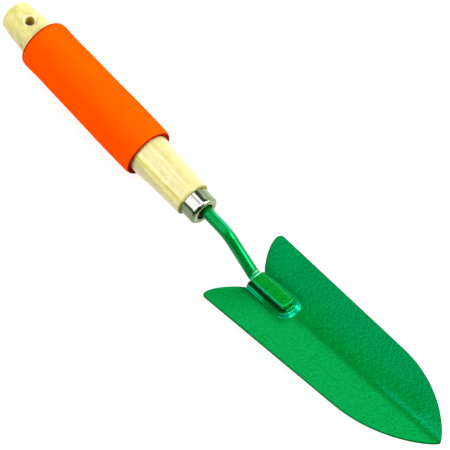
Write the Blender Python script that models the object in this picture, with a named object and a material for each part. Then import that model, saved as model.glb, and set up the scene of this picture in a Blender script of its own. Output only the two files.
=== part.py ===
"""Garden hand trowel with a wooden handle, a foam grip and a pressed blade.

Metres, +Z up.  The tool lies on its back on the ground: +X runs from the butt
of the handle to the point of the blade, +Z is the open side of the blade.
Every piece is drawn in the tool's own frame, where the rod leaves the ferrule
along the X axis and x = 0 lies just in front of the wood's shoulder.  One
empty carries the pieces and tips them into the pose in which the tool rests.
A second one under it turns the handle by a third of a degree, because the
tang sits a little askew in the wood.
"""
import math
import bpy
import bmesh
from mathutils import Vector

# ------------------------------------------------------------------ sizes
MM = 0.001
GAP = 0.3                       # clearance between pieces that touch, mm

# handle: stations (x, radius) along the turned barrel
BUTT_X = -173.6
BUTT_RIM = 2.4                  # rounding of the butt's edge
HANDLE_YAW_DEG = -0.353         # the handle against the rod, seen from above
HANDLE_PIVOT_X = -120.0
BARREL = [(-171.6, 10.35), (-166.0, 11.20), (-158.0, 12.05), (-150.0, 12.75),
          (-135.0, 13.70), (-115.0, 14.25), (-90.0, 14.45), (-65.0, 14.30),
          (-50.0, 14.05), (-43.0, 13.85), (-36.0, 13.45), (-26.0, 12.85),
          (-14.0, 12.40), (-5.0, 12.08), (-2.1, 11.95)]
SHOULDER_X = -0.8               # end face of the barrel, behind the ferrule
SHOULDER_R = 11.1               # the wood's end is eased down to this radius
TENON_R = 8.70
TENON_END = 8.80
TANG_BORE_R = 4.22
TANG_BORE_END = -58.0
HOLE_X = -157.6                 # hanging hole, across the handle along Z
HOLE_R = 3.0
HOLE_SINK = 1.6                 # depth of the countersink at the top line
HOLE_FLARE = 0.78

# foam sleeve
SLEEVE = [(-145.4, 14.6), (-145.7, 15.5), (-144.9, 16.45), (-143.2, 17.0),
          (-140.6, 17.12), (-131.0, 16.80), (-121.0, 16.95), (-108.0, 17.05),
          (-90.0, 17.15), (-71.0, 17.40), (-52.0, 17.30), (-45.6, 17.15),
          (-43.4, 16.75), (-42.35, 15.9), (-42.5, 14.75)]

# ferrule
FERRULE = [(-0.45, 10.22), (1.2, 10.16), (3.4, 10.07), (5.0, 10.08), (6.2, 10.13),
           (7.4, 10.17), (8.5, 10.12), (9.35, 9.90), (9.95, 9.30), (10.25, 8.5),
           (10.25, 7.3), (10.0, 6.3), (9.55, 5.65)]
FERRULE_HOLE_R = 5.5

# shank: round rod, its axis drawn in the XZ plane
ROD_R = 3.90
TANG_TIP_X = -54.0
BEND_X = 29.8                   # where the two straight runs would cross
DROP_DEG = 36.3                 # the neck falls this steeply to the blade
BEND_R = 18.0
HEEL_BEND_R = 4.9
HEEL_H = 1.75                   # the rod is pinched to this half height
FOOT_LEN = 30.4                 # from the neck edge to the toe
FOOT_W = 8.7
FOOT_T = 4.3
FOOT_BEVEL = 0.95

# blade, in its own frame: X along the valley from the neck edge, Z normal
NECK = (57.7, -22.74)           # neck edge of the valley in the tool frame
PITCH_DEG = 12.0                # the point is tipped up by this
SHEET = 1.5
VEE = 0.196                     # slope of the wings
VALLEY_SOFT = 2.6               # rounding of the valley
TIP_X = 163.0
SIDES_END = 100.0               # the sides are straight up to here
HALF_W = 31.27                  # half width at the neck edge
TAPER = 0.0342
TIP_P, TIP_Q = 2.2, 0.8135
EAR_X = 14.5                    # the ears reach this far behind the neck edge
EAR_Y = 28.0
EAR_CURVE = 0.0815
EAR_POWER = 1.663
EAR_ROUND = 3.4
NECK_HALF = 7.5
NECK_X = -2.3                   # the neck's own rear edge, under the rod
NOTCH_X = -1.5                  # bottom of the two notches beside the neck
SEAT_H = 3.25                   # flat of the seat above the valley line
SEAT_HALF = (8.2, 8.7)         # foot of its flanks, at the neck and in front
SEAT_END = 34.4                 # foot of the seat's nose
SEAT_CORNER = 6.2
SEAT_FLANK = 2.0
SEAT_NOSE = 2.5

# weld at the toe of the foot
WELD_W = 7.0
WELD_H = 1.25
WELD_D = 1.5


# ------------------------------------------------------------ small tools
def clean_scene():
    for ob in list(bpy.data.objects):
        bpy.data.objects.remove(ob, do_unlink=True)


def material(name, color, rough, metal=0.0, coat=0.0):
    m = bpy.data.materials.new(name)
    m.use_nodes = True
    b = m.node_tree.nodes["Principled BSDF"]
    b.inputs["Base Color"].default_value = (*color, 1.0)
    b.inputs["Roughness"].default_value = rough
    b.inputs["Metallic"].default_value = metal
    b.inputs["Coat Weight"].default_value = coat
    m.diffuse_color = (*color, 1.0)
    return m


def make(name, bm, mat, parent, sharp_deg=38):
    bmesh.ops.remove_doubles(bm, verts=bm.verts, dist=1e-6)
    bmesh.ops.recalc_face_normals(bm, faces=bm.faces)
    me = bpy.data.meshes.new(name)
    bm.to_mesh(me)
    bm.free()
    me.shade_smooth()
    me.set_sharp_from_angle(angle=math.radians(sharp_deg))
    ob = bpy.data.objects.new(name, me)
    ob.data.materials.append(mat)
    bpy.context.scene.collection.objects.link(ob)
    ob.parent = parent
    return ob


def smooth_curve(stations, per_span):
    """Monotone cubic through the stations, sampled per_span times a span."""
    xs = [p[0] for p in stations]
    ys = [p[1] for p in stations]
    n = len(xs)
    slope = [(ys[i + 1] - ys[i]) / (xs[i + 1] - xs[i]) for i in range(n - 1)]
    tan = [slope[0]] + [0.0] * (n - 2) + [slope[-1]]
    for i in range(1, n - 1):
        if slope[i - 1] * slope[i] > 0:
            h0, h1 = xs[i] - xs[i - 1], xs[i + 1] - xs[i]
            w0, w1 = 2 * h1 + h0, h1 + 2 * h0
            tan[i] = (w0 + w1) / (w0 / slope[i - 1] + w1 / slope[i])
    out = []
    for i in range(n - 1):
        h = xs[i + 1] - xs[i]
        for k in range(per_span):
            t = k / per_span
            out.append((xs[i] + t * h,
                        ys[i] * (1 + 2 * t) * (1 - t) ** 2
                        + tan[i] * h * t * (1 - t) ** 2
                        + ys[i + 1] * t * t * (3 - 2 * t)
                        + tan[i + 1] * h * t * t * (t - 1)))
    out.append((xs[-1], ys[-1]))
    return out


def at(curve, x):
    """Radius of a sampled profile at x."""
    for (x0, y0), (x1, y1) in zip(curve, curve[1:]):
        if x0 <= x <= x1:
            return y0 + (y1 - y0) * (x - x0) / (x1 - x0)
    return curve[0][1] if x < curve[0][0] else curve[-1][1]


def lathe(profile, steps, closed):
    """Spin a profile of (x, radius) points in mm round the X axis."""
    bm = bmesh.new()
    vs = [bm.verts.new((x * MM, 0.0, r * MM)) for x, r in profile]
    es = [bm.edges.new((a, b)) for a, b in zip(vs, vs[1:])]
    if closed:
        es.append(bm.edges.new((vs[-1], vs[0])))
    bmesh.ops.spin(bm, geom=vs + es, cent=(0, 0, 0), axis=(1, 0, 0),
                   angle=2 * math.pi, steps=steps, use_merge=True)
    bmesh.ops.remove_doubles(bm, verts=bm.verts, dist=1e-6)
    bmesh.ops.dissolve_degenerate(bm, edges=bm.edges, dist=1e-7)
    return bm


def arc(cx, cr, radius, a0, a1, n):
    return [(cx + radius * math.cos(math.radians(a0 + (a1 - a0) * i / n)),
             cr + radius * math.sin(math.radians(a0 + (a1 - a0) * i / n)))
            for i in range(n + 1)]


def smoothstep(t):
    t = min(1.0, max(0.0, t))
    return t * t * (3 - 2 * t)


# ------------------------------------------------------------------ blade
def half_width(x):
    r = min(1.0, max(0.0, (x - SIDES_END) / (TIP_X - SIDES_END)))
    return (HALF_W - TAPER * x) * max(0.0, 1.0 - r ** TIP_P) ** TIP_Q


def rear_edge(y):
    """X of the sheet's rear edge at a distance y from the middle."""
    y = abs(y)
    if y <= NECK_HALF:
        return NECK_X + (NOTCH_X - NECK_X) * smoothstep((y - 4.6) / (NECK_HALF - 4.6))
    x = -EAR_X + EAR_CURVE * max(0.0, EAR_Y - y) ** EAR_POWER
    x = NOTCH_X + (x - NOTCH_X) * (1.0 - math.exp(-(y - NECK_HALF) / 0.5))
    edge = HALF_W + TAPER * EAR_X
    over = y - (edge - EAR_ROUND)
    if over > 0:
        over = min(over, EAR_ROUND)
        x += EAR_ROUND - math.sqrt(max(0.0, EAR_ROUND ** 2 - over ** 2))
    return x


def sheet_z(x, y, inset):
    """Height of the pressed surface; inset draws the hollow underneath."""
    v = VEE * (math.sqrt(y * y + VALLEY_SOFT ** 2) - VALLEY_SOFT)
    side = SEAT_HALF[0] + (SEAT_HALF[1] - SEAT_HALF[0]) * smoothstep(x / 26.0)
    qx = abs(y) - (side - SEAT_CORNER)
    qy = x - (SEAT_END - SEAT_CORNER)
    px, py = max(qx, 0.0), max(qy, 0.0)
    d = math.hypot(px, py) + min(max(qx, qy), 0.0) - SEAT_CORNER
    nose = py / (px + py) if px + py > 0 else (1.0 if qy > qx else 0.0)
    nose *= smoothstep((x - (SEAT_END - 2 * SEAT_CORNER)) / SEAT_CORNER)
    run = SEAT_FLANK + (SEAT_NOSE - SEAT_FLANK) * nose
    return v + smoothstep((-d - inset) / run) * (SEAT_H - v)


def blade_frame():
    p = math.radians(PITCH_DEG)
    return (Vector((NECK[0], 0, NECK[1])), Vector((math.cos(p), 0, math.sin(p))),
            Vector((-math.sin(p), 0, math.cos(p))))


def on_blade(x, y, z):
    o, u, n = blade_frame()
    return (o + u * x + n * z + Vector((0, y, 0))) * MM


COLUMNS = [0, 0.08, 0.145, 0.175, 0.196, 0.217, 0.235, 0.26, 0.31, 0.4, 0.5,
           0.62, 0.75, 0.87, 0.94, 0.98, 1.0]
NECK_ROWS = 17
TIP_ROWS = 20


def blade_mesh():
    cols = [-c for c in reversed(COLUMNS[1:])] + COLUMNS
    seat_row = SEAT_END + 1.0
    plan = []
    for v in cols:
        y0 = v * (HALF_W + TAPER * EAR_X)
        x0 = rear_edge(y0)
        line = []
        for i in range(NECK_ROWS):
            line.append(x0 + (seat_row - x0) * i / NECK_ROWS)
        for j in range(TIP_ROWS + 1):
            t = j / TIP_ROWS
            line.append(seat_row + (TIP_X - 0.05 - seat_row) * (1 - (1 - t) ** 1.5))
        plan.append([(x, v * half_width(x)) for x in line])
    bm = bmesh.new()
    top, low = [], []
    for line in plan:
        top.append([bm.verts.new(on_blade(x, y, sheet_z(x, y, 0.0)))
                    for x, y in line])
        low.append([bm.verts.new(on_blade(x, y, sheet_z(x, y, SHEET * 0.8) - SHEET))
                    for x, y in line])
    nc, nr = len(plan), len(plan[0])
    for i in range(nc - 1):
        for j in range(nr - 1):
            bm.faces.new((top[i][j], top[i][j + 1], top[i + 1][j + 1], top[i + 1][j]))
            bm.faces.new((low[i][j], low[i + 1][j], low[i + 1][j + 1], low[i][j + 1]))
    for j in range(nr - 1):
        bm.faces.new((top[0][j], low[0][j], low[0][j + 1], top[0][j + 1]))
        bm.faces.new((top[-1][j], top[-1][j + 1], low[-1][j + 1], low[-1][j]))
    for i in range(nc - 1):
        bm.faces.new((top[i][0], top[i + 1][0], low[i + 1][0], low[i][0]))
        bm.faces.new((top[i][-1], low[i][-1], low[i + 1][-1], top[i + 1][-1]))
    return bm


# ------------------------------------------------------------------ shank
def shank_path():
    """Points of the rod's axis with a section blend: (x, z, dx, dz, foot)."""
    o, u, n = blade_frame()
    mid = SEAT_H + GAP + FOOT_T / 2
    foot0 = o + n * mid
    drop = math.radians(DROP_DEG)
    # the falling run meets the foot's middle line here
    a, b = math.tan(drop), math.tan(math.radians(PITCH_DEG))
    heel_x = (a * BEND_X - foot0.z + b * foot0.x) / (a + b)
    heel = Vector((heel_x, 0, -a * (heel_x - BEND_X)))
    bend = Vector((BEND_X, 0, 0))
    toe = foot0 + u * FOOT_LEN
    pts = []

    def straight(p, q, step):
        count = max(1, int(math.ceil((q - p).length / step)))
        for i in range(count):
            pts.append(p + (q - p) * i / count)

    def fillet(p, q, r, radius, steps):
        d0, d1 = (q - p).normalized(), (r - q).normalized()
        half = d0.angle(d1) / 2
        t = radius * math.tan(half)
        start, end = q - d0 * t, q + d1 * t
        side = (d1 - d0).normalized()
        centre = q + side * (radius / math.cos(half))
        ray = start - centre
        turn = 1.0 if d0.cross(d1).y > 0 else -1.0
        arc_pts = []
        for i in range(steps + 1):
            ang = turn * 2 * half * i / steps
            c, s = math.cos(ang), math.sin(ang)
            arc_pts.append(centre + Vector((ray.x * c + ray.z * s, 0,
                                            -ray.x * s + ray.z * c)))
        return start, end, arc_pts

    tip = Vector((TANG_TIP_X, 0, 0))
    s0, e0, arc0 = fillet(tip, bend, heel, BEND_R, 8)
    s1, e1, arc1 = fillet(bend, heel, toe, HEEL_BEND_R, 6)
    straight(tip, s0, 9.0)
    pts.extend(arc0)
    straight(e0, s1, 4.0)
    pts.extend(arc1)
    straight(e1, toe, 6.0)
    pts.append(toe)
    out = []
    for p in pts:
        if not out or (p - out[-1]).length > 0.05:
            out.append(p)
    return out, e1, toe, u


PER_CORNER = 7


def section(w, h, r):
    """Rounded rectangle of half width w and half height h, from its right
    side round over the top.  With w = h = r it is the rod's circle."""
    out = []
    for corner, (sy, sz) in enumerate(((1, 1), (-1, 1), (-1, -1), (1, -1))):
        for i in range(PER_CORNER):
            a = math.pi / 2 * (corner + (i + 0.5) / PER_CORNER)
            out.append((sy * (w - r) + r * math.cos(a), sz * (h - r) + r * math.sin(a)))
    return out


def shank_mesh():
    pts, foot_start, toe, u = shank_path()
    bm = bmesh.new()
    rings = []

    def ring(p, d, sec):
        n = Vector((-d.z, 0, d.x))
        rings.append([bm.verts.new((p + Vector((0, y, 0)) + n * z) * MM)
                      for y, z in sec])

    circle = section(ROD_R, ROD_R, ROD_R)
    for i, p in enumerate(pts):
        prev = pts[i - 1] if i else p
        nxt = pts[i + 1] if i + 1 < len(pts) else p
        d = (nxt - prev).normalized()
        along = (p - foot_start).dot(u)
        if along > 0.2 and d.dot(u) > 0.999:
            break
        if i == 0:
            ring(p, d, [(0.72 * y, 0.72 * z) for y, z in circle])
            ring(p + d * 1.2, d, circle)
            continue
        pinch = smoothstep((along + 3.6) / 3.7)
        h = ROD_R + (HEEL_H - ROD_R) * pinch
        ring(p, d, section(ROD_R + 0.15 * pinch, h, h))
    start = foot_start + u * 0.35
    ring(start, u, section(FOOT_W / 2 - 0.55, HEEL_H + 0.05, HEEL_H - 0.1))
    ring(start + u * 0.25, u, section(FOOT_W / 2 - 0.15, FOOT_T / 2 - 0.12, 1.5))
    ring(start + u * 0.75, u, section(FOOT_W / 2, FOOT_T / 2, 1.3))
    length = (toe - start).dot(u)
    for k in range(0, 4):
        ring(start + u * (2.6 + (length - 5.0) * k / 3), u,
             section(FOOT_W / 2, FOOT_T / 2, FOOT_BEVEL))
    ring(toe - u * 1.0, u, section(FOOT_W / 2 - 0.25, FOOT_T / 2, FOOT_BEVEL))
    ring(toe - u * 0.3, u, section(FOOT_W / 2 - 0.85, FOOT_T / 2 - 0.15, FOOT_BEVEL))
    ring(toe, u, section(FOOT_W / 2 - 1.5, FOOT_T / 2 - 0.55, FOOT_BEVEL))
    count = len(circle)
    for a, b in zip(rings, rings[1:]):
        for k in range(count):
            m = (k + 1) % count
            bm.faces.new((a[k], a[m], b[m], b[k]))
    bm.faces.new(list(reversed(rings[0])))
    bm.faces.new(rings[-1])
    return bm


# ------------------------------------------------------------ rest pose
def rest_pose():
    """Angle and drop that set the sleeve and the ears on the ground."""
    grip = [(x, -r) for x, r in smooth_curve(SLEEVE[4:12], 6)]
    grip += [(x, -r) for x, r in SLEEVE]
    ears = []
    for i in range(200):
        y = (HALF_W + TAPER * EAR_X) * i / 199
        x = rear_edge(y)
        p = on_blade(x, y, sheet_z(x, y, SHEET * 0.8) - SHEET) / MM
        ears.append((p.x, p.z))

    def low(points, ang):
        return min(z * math.cos(ang) + x * math.sin(ang) for x, z in points)

    lo, hi = 0.0, math.radians(8)
    for _ in range(60):
        mid = (lo + hi) / 2
        if low(grip, mid) > low(ears, mid):
            lo = mid
        else:
            hi = mid
    ang = (lo + hi) / 2
    return ang, -low(ears, ang)


# ------------------------------------------------------------------ build
clean_scene()

wood = material("wood_bare", (0.80, 0.66, 0.36), 0.55)
foam = material("foam_orange", (0.92, 0.16, 0.01), 0.85)
nickel = material("nickel", (0.72, 0.74, 0.70), 0.15, metal=1.0)
gloss_green = material("paint_green_gloss", (0.0, 0.30, 0.09), 0.25, coat=0.5)
hammer_green = material("paint_green_hammered", (0.0, 0.33, 0.13), 0.38, coat=0.3)

tool = bpy.data.objects.new("tool", None)
bpy.context.scene.collection.objects.link(tool)
tilt, lift = rest_pose()
tool.rotation_euler = (0, -tilt, 0)

grip_axis = bpy.data.objects.new("grip_axis", None)
bpy.context.scene.collection.objects.link(grip_axis)
grip_axis.parent = tool
yaw = math.radians(HANDLE_YAW_DEG)
grip_axis.rotation_euler = (0, 0, yaw)
grip_axis.location = (HANDLE_PIVOT_X * (1 - math.cos(yaw)) * MM,
                      -HANDLE_PIVOT_X * math.sin(yaw) * MM, 0)


def cutter(name, profile, steps, parent, location, rotation):
    bm = lathe(profile, steps, closed=False)
    bmesh.ops.recalc_face_normals(bm, faces=bm.faces)
    me = bpy.data.meshes.new(name)
    bm.to_mesh(me)
    bm.free()
    ob = bpy.data.objects.new(name, me)
    bpy.context.scene.collection.objects.link(ob)
    ob.parent = parent
    ob.location = location
    ob.rotation_euler = rotation
    ob.hide_render = True
    ob.display_type = 'WIRE'
    return ob


def cut(ob, name, tool_ob):
    mod = ob.modifiers.new(name, 'BOOLEAN')
    mod.operation = 'DIFFERENCE'
    mod.solver = 'EXACT'
    mod.object = tool_ob


# handle
barrel = smooth_curve(BARREL, 2)
butt_r = BARREL[0][1]
profile = [(TENON_END, 0.0), (TENON_END, TENON_R), (SHOULDER_X, TENON_R),
           (SHOULDER_X, SHOULDER_R), (SHOULDER_X - 0.5, 11.70)]
profile += list(reversed(barrel))
profile += arc(BUTT_X + BUTT_RIM, butt_r - BUTT_RIM - 0.15, BUTT_RIM, 90, 180, 5)[1:]
profile.append((BUTT_X - 0.15, 0.0))
handle = make("handle", lathe(profile, 40, closed=False), wood, grip_axis)

# its hanging hole, plumb when the tool lies at rest, countersunk at both ends
reach = at(barrel, HOLE_X)
half = [(reach - HOLE_SINK, HOLE_R), (reach + 4.0, HOLE_R + HOLE_FLARE * (HOLE_SINK + 4.0))]
drill = [(-z, r) for z, r in reversed(half)] + half
drill = [(drill[0][0], 0.0)] + drill + [(drill[-1][0], 0.0)]
cut(handle, "hanging_hole",
    cutter("hole_cutter", drill, 28, grip_axis, (HOLE_X * MM, 0, 0),
           (0, math.radians(90) + tilt, 0)))

# and its bore for the tang, which follows the rod
bore_tool = [(TANG_BORE_END, 0.0), (TANG_BORE_END, TANG_BORE_R),
             (TENON_END + 6.0, TANG_BORE_R), (TENON_END + 6.0, 0.0)]
cut(handle, "tang_bore", cutter("bore_cutter", bore_tool, 28, tool, (0, 0, 0), (0, 0, 0)))

# foam sleeve, its bore following the barrel
bore = [(x, at(barrel, x) + GAP) for x in
        [-42.8, -50, -58, -72, -90, -108, -122, -135, -141, -145.1]]
outer = SLEEVE[:4] + smooth_curve(SLEEVE[4:12], 2) + SLEEVE[12:]
make("grip_sleeve", lathe(outer + bore, 40, closed=True), foam, grip_axis)

# ferrule
inner = [(TENON_END + GAP, FERRULE_HOLE_R), (TENON_END + GAP, TENON_R + GAP),
         (FERRULE[0][0], TENON_R + GAP)]
make("ferrule", lathe(FERRULE + inner, 40, closed=True), nickel, grip_axis, 50)

# shank, blade and weld
make("shank", shank_mesh(), gloss_green, tool, 32)
make("blade", blade_mesh(), hammer_green, tool, 45)


def weld_mesh():
    """A low bead with four humps across the toe."""
    bm = bmesh.new()
    x0 = FOOT_LEN + GAP + 0.15
    count, segs = 13, 8
    rings = []
    for i in range(count):
        t = i / (count - 1)
        y = WELD_W * (t - 0.5)
        end = math.sqrt(max(0.0, 1 - (2 * t - 1) ** 4)) * 0.85 + 0.15
        hump = 1.0 + 0.09 * math.cos(2 * math.pi * 4 * t)
        w, h = WELD_D * end * hump, WELD_H * end * hump
        line = []
        for k in range(segs + 1):
            a = math.pi / 2 * k / segs
            line.append((x0 + w * math.sin(a), y, h * math.cos(a)))
        ring = []
        for x, yy, z in line:
            ground = sheet_z(x, yy, 0.0) + GAP
            ring.append(bm.verts.new(on_blade(x, yy, ground + z)))
        ring.append(bm.verts.new(on_blade(x0, y, sheet_z(x0, y, 0.0) + GAP)))
        rings.append(ring)
    n = len(rings[0])
    for a, b in zip(rings, rings[1:]):
        for k in range(n):
            m = (k + 1) % n
            bm.faces.new((a[k], a[m], b[m], b[k]))
    bm.faces.new(list(reversed(rings[0])))
    bm.faces.new(rings[-1])
    return bm


make("toe_weld", weld_mesh(), gloss_green, tool, 60)

# the middle of the tool's footprint goes on the origin
bpy.context.view_layer.update()
ends = []
for ob in bpy.data.objects:
    if ob.type == 'MESH' and not ob.hide_render:
        local = tool.matrix_world.inverted() @ ob.matrix_world
        for v in ob.data.vertices:
            p = local @ v.co
            ends.append(p.x * math.cos(tilt) - p.z * math.sin(tilt))
tool.location = (-(min(ends) + max(ends)) / 2, 0, lift * MM)
bpy.context.view_layer.update()
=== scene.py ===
"""Looks of the garden hand trowel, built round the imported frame.

Every visible piece is a fine mesh that stands for its CAD node: the turned
wooden handle, the foam grip, the nickel ferrule, the painted rod with its
flattened foot, the hammered blade and the weld at the toe.  They are drawn in
millimetres in the tool's own frame, with the handle's axis along X and x = 0
just in front of the wood's shoulder, and moved into place point by point.
"""
import math

import bpy
import bmesh
import numpy as np
from mathutils import Matrix, Vector, kdtree, noise


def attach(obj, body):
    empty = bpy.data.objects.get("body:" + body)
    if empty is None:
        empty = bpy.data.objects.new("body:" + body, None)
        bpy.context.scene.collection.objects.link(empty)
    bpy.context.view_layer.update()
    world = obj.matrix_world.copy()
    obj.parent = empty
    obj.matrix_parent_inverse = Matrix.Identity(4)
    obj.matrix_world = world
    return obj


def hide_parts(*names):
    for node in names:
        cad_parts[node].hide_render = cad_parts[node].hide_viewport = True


MM = 0.001
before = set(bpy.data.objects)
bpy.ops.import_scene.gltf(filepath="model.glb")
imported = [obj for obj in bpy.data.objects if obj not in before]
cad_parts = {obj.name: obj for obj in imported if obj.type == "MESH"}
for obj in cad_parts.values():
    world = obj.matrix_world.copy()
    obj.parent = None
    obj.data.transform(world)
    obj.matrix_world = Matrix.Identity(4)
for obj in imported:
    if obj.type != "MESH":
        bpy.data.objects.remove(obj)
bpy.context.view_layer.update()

# ---------------------------------------------------------- tool frame
TILT_DEG = 1.9727433                    # the tool rests tipped up by this
TOOL_AT = (-21.5852, 0.0, 21.9499)      # mm
TOOL = (Matrix.Translation(Vector(TOOL_AT) * MM)
        @ Matrix.Rotation(math.radians(-TILT_DEG), 4, 'Y'))
YAW_DEG, PIVOT_X = -0.353, -120.0       # the wood sits askew on the tang
PIVOT = Matrix.Translation(Vector((PIVOT_X * MM, 0, 0)))
GRIP = TOOL @ PIVOT @ Matrix.Rotation(math.radians(YAW_DEG), 4, 'Z') @ PIVOT.inverted()

# ---------------------------------------------------------------- camera
CAM_AZ, CAM_EL, CAM_ROLL = 48.698, 61.705, 0.742
CAM_DIST = 2.0
CAM_TARGET = Vector((20.0, 0.0, 0.0)) * MM
FOCAL_PX = 450 * 1 / 0.2697 * 2.0         # image pixels for one radian
TARGET_PX = (216.880, 222.480)


def make_camera():
    a, e, r = (math.radians(v) for v in (CAM_AZ, CAM_EL, CAM_ROLL))
    back = Vector((math.sin(a) * math.cos(e), -math.cos(a) * math.cos(e), math.sin(e)))
    right = Vector((math.cos(a), math.sin(a), 0.0))
    up = back.cross(right)
    x = right * math.cos(r) + up * math.sin(r)
    y = -right * math.sin(r) + up * math.cos(r)
    m = Matrix.Identity(4)
    for i in range(3):
        m[i][0], m[i][1], m[i][2] = x[i], y[i], back[i]
    p = CAM_TARGET + back * CAM_DIST
    m[0][3], m[1][3], m[2][3] = p
    cam = bpy.data.cameras.new("camera")
    cam.sensor_width = 36.0
    cam.lens = FOCAL_PX / 450 * 36.0
    cam.shift_x = (225 - TARGET_PX[0]) / 450
    cam.shift_y = (TARGET_PX[1] - 225) / 450
    cam.clip_end = 20
    ob = bpy.data.objects.new("camera", cam)
    bpy.context.scene.collection.objects.link(ob)
    ob.matrix_world = TOOL @ m
    bpy.context.scene.camera = ob
    return ob


camera = make_camera()

# ------------------------------------------------------------------ sizes
GAP = 0.3
BUTT_X, BUTT_RIM = -173.6, 2.4
BARREL = [(-171.6, 10.35), (-166.0, 11.20), (-158.0, 12.05), (-150.0, 12.75),
          (-135.0, 13.70), (-115.0, 14.25), (-90.0, 14.45), (-65.0, 14.30),
          (-50.0, 14.05), (-43.0, 13.85), (-36.0, 13.45), (-26.0, 12.85),
          (-14.0, 12.40), (-5.0, 12.08), (-2.1, 11.95)]
SHOULDER_X, SHOULDER_R = -0.8, 11.1
TENON_R, TENON_END = 8.70, 8.80
TANG_BORE_R, TANG_BORE_END = 4.22, -58.0
HOLE_X, HOLE_R, HOLE_SINK, HOLE_FLARE = -157.6, 3.0, 1.6, 0.78
HOLE_WORLD = (-179.091, 0.2317)         # where the plumb hole stands, mm

SLEEVE = [(-145.4, 14.6), (-145.7, 15.5), (-144.9, 16.45), (-143.2, 17.0),
          (-140.6, 17.12), (-131.0, 16.80), (-121.0, 16.95), (-108.0, 17.05),
          (-90.0, 17.15), (-71.0, 17.40), (-52.0, 17.30), (-45.6, 17.15),
          (-43.4, 16.75), (-42.35, 15.9), (-42.5, 14.75)]

FERRULE = [(-0.45, 10.22), (1.2, 10.16), (3.4, 10.07), (5.0, 10.08), (6.2, 10.13),
           (7.4, 10.17), (8.5, 10.12), (9.35, 9.90), (9.95, 9.30), (10.25, 8.5),
           (10.25, 7.3), (10.0, 6.3), (9.55, 5.65)]
FERRULE_HOLE_R = 5.5

ROD_R = 3.90
TANG_TIP_X = -54.0
BEND_X, DROP_DEG, BEND_R = 29.8, 36.3, 18.0
HEEL_BEND_R, HEEL_H = 4.9, 1.75
FOOT_LEN, FOOT_W, FOOT_T, FOOT_BEVEL = 30.4, 8.7, 4.3, 0.95

NECK, PITCH_DEG = (57.7, -22.74), 12.0
SHEET, VEE, VALLEY_SOFT = 1.5, 0.196, 2.6
TIP_X, SIDES_END, HALF_W, TAPER = 163.0, 100.0, 31.27, 0.0342
TIP_P, TIP_Q = 2.2, 0.8135
EAR_X, EAR_Y, EAR_CURVE, EAR_POWER, EAR_ROUND = 14.5, 28.0, 0.0815, 1.663, 3.4
NECK_HALF, NECK_X, NOTCH_X = 7.5, -2.3, -1.5
SEAT_H, SEAT_HALF, SEAT_END, SEAT_CORNER = 3.25, (8.2, 8.7), 34.4, 6.2
SEAT_FLANK, SEAT_NOSE = 2.0, 2.5
WELD_W, WELD_H, WELD_D = 7.0, 1.25, 1.5


# ------------------------------------------------------------ mesh helpers
def to_place(points, place):
    """Points in mm in a frame, to metres in the world."""
    m = np.array(place)
    p = np.asarray(points, float) * MM
    return p @ m[:3, :3].T + m[:3, 3]


def piece(name, points, faces, material, place, sharp_deg=None):
    me = bpy.data.meshes.new(name)
    me.from_pydata(to_place(points, place).tolist(), [], faces)
    me.update()
    bm = bmesh.new()
    bm.from_mesh(me)
    bmesh.ops.recalc_face_normals(bm, faces=bm.faces)
    bm.to_mesh(me)
    bm.free()
    me.shade_smooth()
    if sharp_deg:
        me.set_sharp_from_angle(angle=math.radians(sharp_deg))
    ob = bpy.data.objects.new(name, me)
    bpy.context.scene.collection.objects.link(ob)
    me.materials.append(material)
    return ob


def mark(ob, name, values):
    """A number at every point, for the materials to read."""
    a = ob.data.attributes.new(name, 'FLOAT', 'POINT')
    a.data.foreach_set("value", np.asarray(values, np.float32))


def monotone(stations, xs):
    """Monotone cubic through the stations, read at xs."""
    px = [p[0] for p in stations]
    py = [p[1] for p in stations]
    n = len(px)
    slope = [(py[i + 1] - py[i]) / (px[i + 1] - px[i]) for i in range(n - 1)]
    tan = [slope[0]] + [0.0] * (n - 2) + [slope[-1]]
    for i in range(1, n - 1):
        if slope[i - 1] * slope[i] > 0:
            h0, h1 = px[i] - px[i - 1], px[i + 1] - px[i]
            w0, w1 = 2 * h1 + h0, h1 + 2 * h0
            tan[i] = (w0 + w1) / (w0 / slope[i - 1] + w1 / slope[i])
    out = []
    for x in xs:
        i = 0
        while i < n - 2 and x > px[i + 1]:
            i += 1
        h = px[i + 1] - px[i]
        t = min(1.0, max(0.0, (x - px[i]) / h))
        out.append(py[i] * (1 + 2 * t) * (1 - t) ** 2 + tan[i] * h * t * (1 - t) ** 2
                   + py[i + 1] * t * t * (3 - 2 * t) + tan[i + 1] * h * t * t * (t - 1))
    return out


def flowing(points, step):
    """Centripetal Catmull-Rom curve through the points, every step mm."""
    pts = [Vector(p) for p in points]
    ext = [2 * pts[0] - pts[1]] + pts + [2 * pts[-1] - pts[-2]]
    out = []
    for i in range(1, len(ext) - 2):
        p0, p1, p2, p3 = ext[i - 1:i + 3]
        t0 = 0.0
        t1 = t0 + (p1 - p0).length ** 0.5
        t2 = t1 + (p2 - p1).length ** 0.5
        t3 = t2 + (p3 - p2).length ** 0.5
        count = max(2, int(math.ceil((p2 - p1).length / step)))
        for k in range(count):
            t = t1 + (t2 - t1) * k / count
            a1 = p0 * ((t1 - t) / (t1 - t0)) + p1 * ((t - t0) / (t1 - t0))
            a2 = p1 * ((t2 - t) / (t2 - t1)) + p2 * ((t - t1) / (t2 - t1))
            a3 = p2 * ((t3 - t) / (t3 - t2)) + p3 * ((t - t2) / (t3 - t2))
            b1 = a1 * ((t2 - t) / (t2 - t0)) + a2 * ((t - t0) / (t2 - t0))
            b2 = a2 * ((t3 - t) / (t3 - t1)) + a3 * ((t - t1) / (t3 - t1))
            out.append(tuple(b1 * ((t2 - t) / (t2 - t1)) + b2 * ((t - t1) / (t2 - t1))))
    out.append(tuple(pts[-1]))
    return out


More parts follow.
